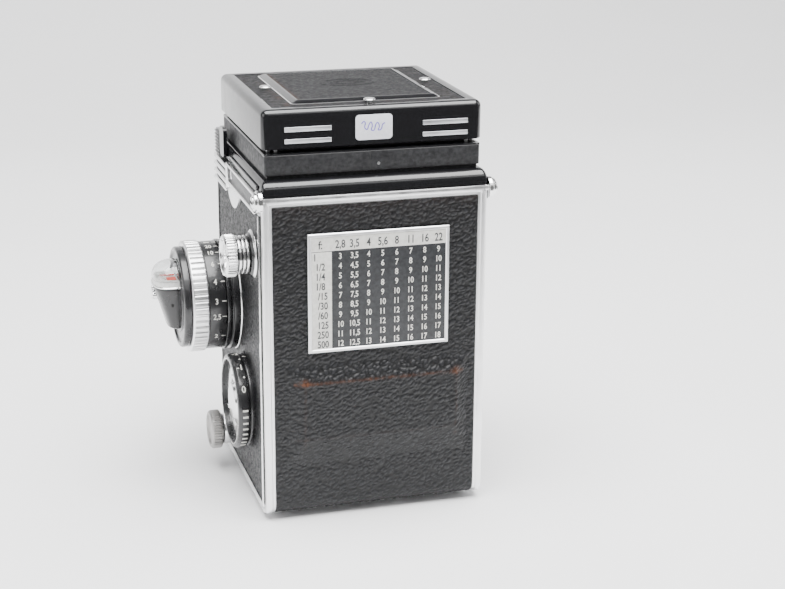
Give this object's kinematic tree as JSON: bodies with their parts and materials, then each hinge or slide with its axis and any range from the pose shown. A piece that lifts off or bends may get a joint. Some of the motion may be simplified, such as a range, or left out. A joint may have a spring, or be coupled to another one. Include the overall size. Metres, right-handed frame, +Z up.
{
  "type": "twin lens reflex camera",
  "caption": "Box-shaped twin lens reflex film camera with folding hood, side focusing knob with light meter, winding crank and hinged leather-covered back.",
  "frame": {"origin": "mouth of the tripod socket, on the plane the camera rests on", "axes": "+X to the focusing-knob side, +Y to the rear (the hinged back), +Z up; the lenses look along -Y"},
  "size_m": [0.1186, 0.1073, 0.1496],
  "materials": {
    "cast_body": "satin die casting",
    "gloss_enamel": "glossy black enamel",
    "crackle_enamel": "black crackle enamel",
    "grey_enamel": "grey hammered enamel",
    "grained_leather": "pebbled black leather",
    "bright_trim": "polished plating",
    "satin_chrome": "satin plating",
    "mirror_glass": "front-silvered",
    "blackened_metal": "matte black",
    "ground_glass": "finely ground",
    "clear_window": "clear",
    "coated_glass": "coated",
    "spool_metal": "black enamel",
    "steel": "turned",
    "black_plastic": "moulded",
    "brass_gear": "cut",
    "black_anodised": "black anodised",
    "red_needle": "red lacquer",
    "table_metal": "black enamelled plate"
  },
  "bodies": {
    "camera_body": {"body_casting": "cast_body", "top_deck": "gloss_enamel", "side_leathers": "grained_leather", "side_trims": "bright_trim", "reflex_mirror": "mirror_glass", "mirror_cradle": "blackened_metal", "focusing_screen": "ground_glass", "strap_rails": "bright_trim", "door_hinge_caps": "bright_trim", "meter_cell": "clear_window", "spool_collars": "bright_trim", "focus_base_ring": "black_anodised", "meter_housing": "black_anodised", "meter_dome": "clear_window", "correction_dial_base": "satin_chrome", "flash_socket": "bright_trim", "hood_base": "crackle_enamel"},
    "focus_knob": {"focus_drum": "black_anodised", "focus_grip_ring": "satin_chrome", "focus_camshaft": "steel"},
    "lens_standard": {"lens_board": "grey_enamel", "viewing_barrel": "black_anodised", "taking_barrel": "black_anodised", "viewing_glass": "coated_glass", "taking_glass": "coated_glass", "shutter_case": "satin_chrome"},
    "aperture_setting": {"aperture_wheel": "satin_chrome"},
    "speed_setting": {"speed_wheel": "satin_chrome"},
    "self_timer": {"self_timer_lever": "bright_trim"},
    "supply_reel": {"supply_spool": "spool_metal"},
    "take_up_reel": {"take_up_spool": "spool_metal", "spool_gear": "brass_gear"},
    "idler": {"idler_gear": "brass_gear"},
    "low_roller": {"lower_roller": "steel"},
    "high_roller": {"upper_roller": "steel"},
    "upper_knob": {"upper_spool_knob": "bright_trim"},
    "lower_knob": {"lower_spool_knob": "bright_trim"},
    "crank": {"crank_hub": "steel"},
    "crank_lever": {"crank_arm": "bright_trim"},
    "crank_grip": {"crank_handle": "black_plastic"},
    "correction": {"correction_dial": "black_anodised"},
    "needle": {"meter_needle": "red_needle"},
    "release_button": {"shutter_release": "bright_trim"},
    "release_collar": {"release_lock": "satin_chrome"},
    "back": {"back_door": "satin_chrome", "door_floor": "satin_chrome", "back_leather": "grained_leather", "exposure_table": "table_metal", "tripod_socket": "steel", "door_feet": "bright_trim"},
    "film_pressure": {"pressure_plate": "blackened_metal"},
    "back_latch": {"latch_ring": "black_anodised"},
    "lid": {"hood_lid": "gloss_enamel", "lid_panel": "grained_leather", "lid_studs": "bright_trim", "magnifier": "clear_window"},
    "hood_left": {"left_flap": "blackened_metal"},
    "hood_right": {"right_flap": "blackened_metal"},
    "hood_rear": {"rear_flap": "blackened_metal"},
    "hood_catch": {"hood_catch_lever": "gloss_enamel"}
  },
  "joints": [
    {"name": "focus_turn", "type": "hinge", "parent": "camera_body", "child": "focus_knob", "pos_m": [0.052, -0.0173, 0.0693], "axis": [1, 0, 0], "range_deg": [0, 256]},
    {"name": "standard_travel", "type": "slide", "parent": "camera_body", "child": "lens_standard", "axis": [0, -1, 0], "range_m": [0, 0.007]},
    {"name": "aperture_turn", "type": "hinge", "parent": "lens_standard", "child": "aperture_setting", "pos_m": [0.026, -0.048, 0.074], "axis": [0, 1, 0], "range_deg": [0, 165]},
    {"name": "speed_turn", "type": "hinge", "parent": "lens_standard", "child": "speed_setting", "pos_m": [-0.026, -0.048, 0.074], "axis": [0, 1, 0], "range_deg": [0, 225]},
    {"name": "self_timer_swing", "type": "hinge", "parent": "lens_standard", "child": "self_timer", "pos_m": [-0.025, -0.047, 0.039], "axis": [0, 1, 0], "range_deg": [0, 95]},
    {"name": "supply_spin", "type": "hinge", "parent": "camera_body", "child": "supply_reel", "pos_m": [0, -0.015, 0.0164], "axis": [1, 0, 0], "continuous": true},
    {"name": "crank_turn", "type": "hinge", "parent": "camera_body", "child": "crank", "pos_m": [-0.042, -0.004, 0.073], "axis": [1, 0, 0], "continuous": true},
    {"name": "idler_spin", "type": "hinge", "parent": "camera_body", "child": "idler", "pos_m": [-0.036, 0.00741, 0.08627], "axis": [1, 0, 0], "continuous": true},
    {"name": "take_up_spin", "type": "hinge", "parent": "camera_body", "child": "take_up_reel", "pos_m": [0, 0.0224, 0.0953], "axis": [1, 0, 0], "continuous": true},
    {"name": "low_roller_spin", "type": "hinge", "parent": "camera_body", "child": "low_roller", "pos_m": [0, 0.0313, 0.0201], "axis": [1, 0, 0], "continuous": true},
    {"name": "high_roller_spin", "type": "hinge", "parent": "camera_body", "child": "high_roller", "pos_m": [0, 0.0313, 0.0839], "axis": [1, 0, 0], "continuous": true},
    {"name": "upper_knob_pull", "type": "slide", "parent": "camera_body", "child": "upper_knob", "axis": [1, 0, 0], "range_m": [0, 0.006], "stiffness_N_per_m": 300, "springref_m": -0.003},
    {"name": "lower_knob_pull", "type": "slide", "parent": "camera_body", "child": "lower_knob", "axis": [1, 0, 0], "range_m": [0, 0.006], "stiffness_N_per_m": 300, "springref_m": -0.003},
    {"name": "crank_fold", "type": "hinge", "parent": "crank", "child": "crank_lever", "pos_m": [-0.0462, -0.004, 0.073], "axis": [0, 0, -1], "range_deg": [0, 180]},
    {"name": "handle_spin", "type": "hinge", "parent": "crank_lever", "child": "crank_grip", "pos_m": [-0.043, -0.028, 0.073], "axis": [1, 0, 0], "continuous": true},
    {"name": "correction_turn", "type": "hinge", "parent": "camera_body", "child": "correction", "pos_m": [0.0446, 0.0067, 0.0356], "axis": [1, 0, 0], "range_deg": [-45, 90]},
    {"name": "needle_swing", "type": "hinge", "parent": "camera_body", "child": "needle", "pos_m": [0.0628, -0.0173, 0.076], "axis": [0, 0, 1], "range_deg": [-32, 32]},
    {"name": "release_press", "type": "slide", "parent": "camera_body", "child": "release_button", "axis": [0, 1, 0], "range_m": [0, 0.003], "stiffness_N_per_m": 400, "springref_m": -0.002},
    {"name": "lock_turn", "type": "hinge", "parent": "camera_body", "child": "release_collar", "pos_m": [-0.0325, -0.0407, 0.014], "axis": [0, 1, 0], "range_deg": [0, 50]},
    {"name": "back_swing", "type": "hinge", "parent": "camera_body", "child": "back", "pos_m": [0, 0.0373, 0.1176], "axis": [1, 0, 0], "range_deg": [0, 92]},
    {"name": "pressure_plate_press", "type": "slide", "parent": "back", "child": "film_pressure", "axis": [0, 1, 0], "range_m": [0, 0.0005], "stiffness_N_per_m": 600, "springref_m": -0.001},
    {"name": "latch_turn", "type": "hinge", "parent": "back", "child": "back_latch", "pos_m": [0, 0, 0.0012], "axis": [0, 0, 1], "range_deg": [0, 90]},
    {"name": "lid_swing", "type": "hinge", "parent": "camera_body", "child": "lid", "pos_m": [0, -0.0379, 0.1342], "axis": [1, 0, 0], "range_deg": [0, 90]},
    {"name": "left_flap_swing", "type": "hinge", "parent": "camera_body", "child": "hood_left", "pos_m": [0.036, 0, 0.134], "axis": [0, 1, 0], "range_deg": [0, 90]},
    {"name": "right_flap_swing", "type": "hinge", "parent": "camera_body", "child": "hood_right", "pos_m": [-0.036, 0, 0.134], "axis": [0, -1, 0], "range_deg": [0, 90]},
    {"name": "rear_flap_swing", "type": "hinge", "parent": "camera_body", "child": "hood_rear", "pos_m": [0, 0.032, 0.134], "axis": [-1, 0, 0], "range_deg": [0, 90]},
    {"name": "catch_swing", "type": "hinge", "parent": "camera_body", "child": "hood_catch", "pos_m": [0.041, -0.023, 0.121], "axis": [-1, 0, 0], "range_deg": [0, 20]}
  ],
  "couplings": [
    {"joint": "standard_travel", "follows": "focus_turn", "m_per_rad": 0.001559},
    {"joint": "idler_spin", "follows": "crank_turn", "ratio": -1},
    {"joint": "take_up_spin", "follows": "crank_turn", "ratio": 1},
    {"joint": "left_flap_swing", "follows": "lid_swing", "ratio": 1},
    {"joint": "right_flap_swing", "follows": "lid_swing", "ratio": 1},
    {"joint": "rear_flap_swing", "follows": "lid_swing", "ratio": 1}
  ]
}
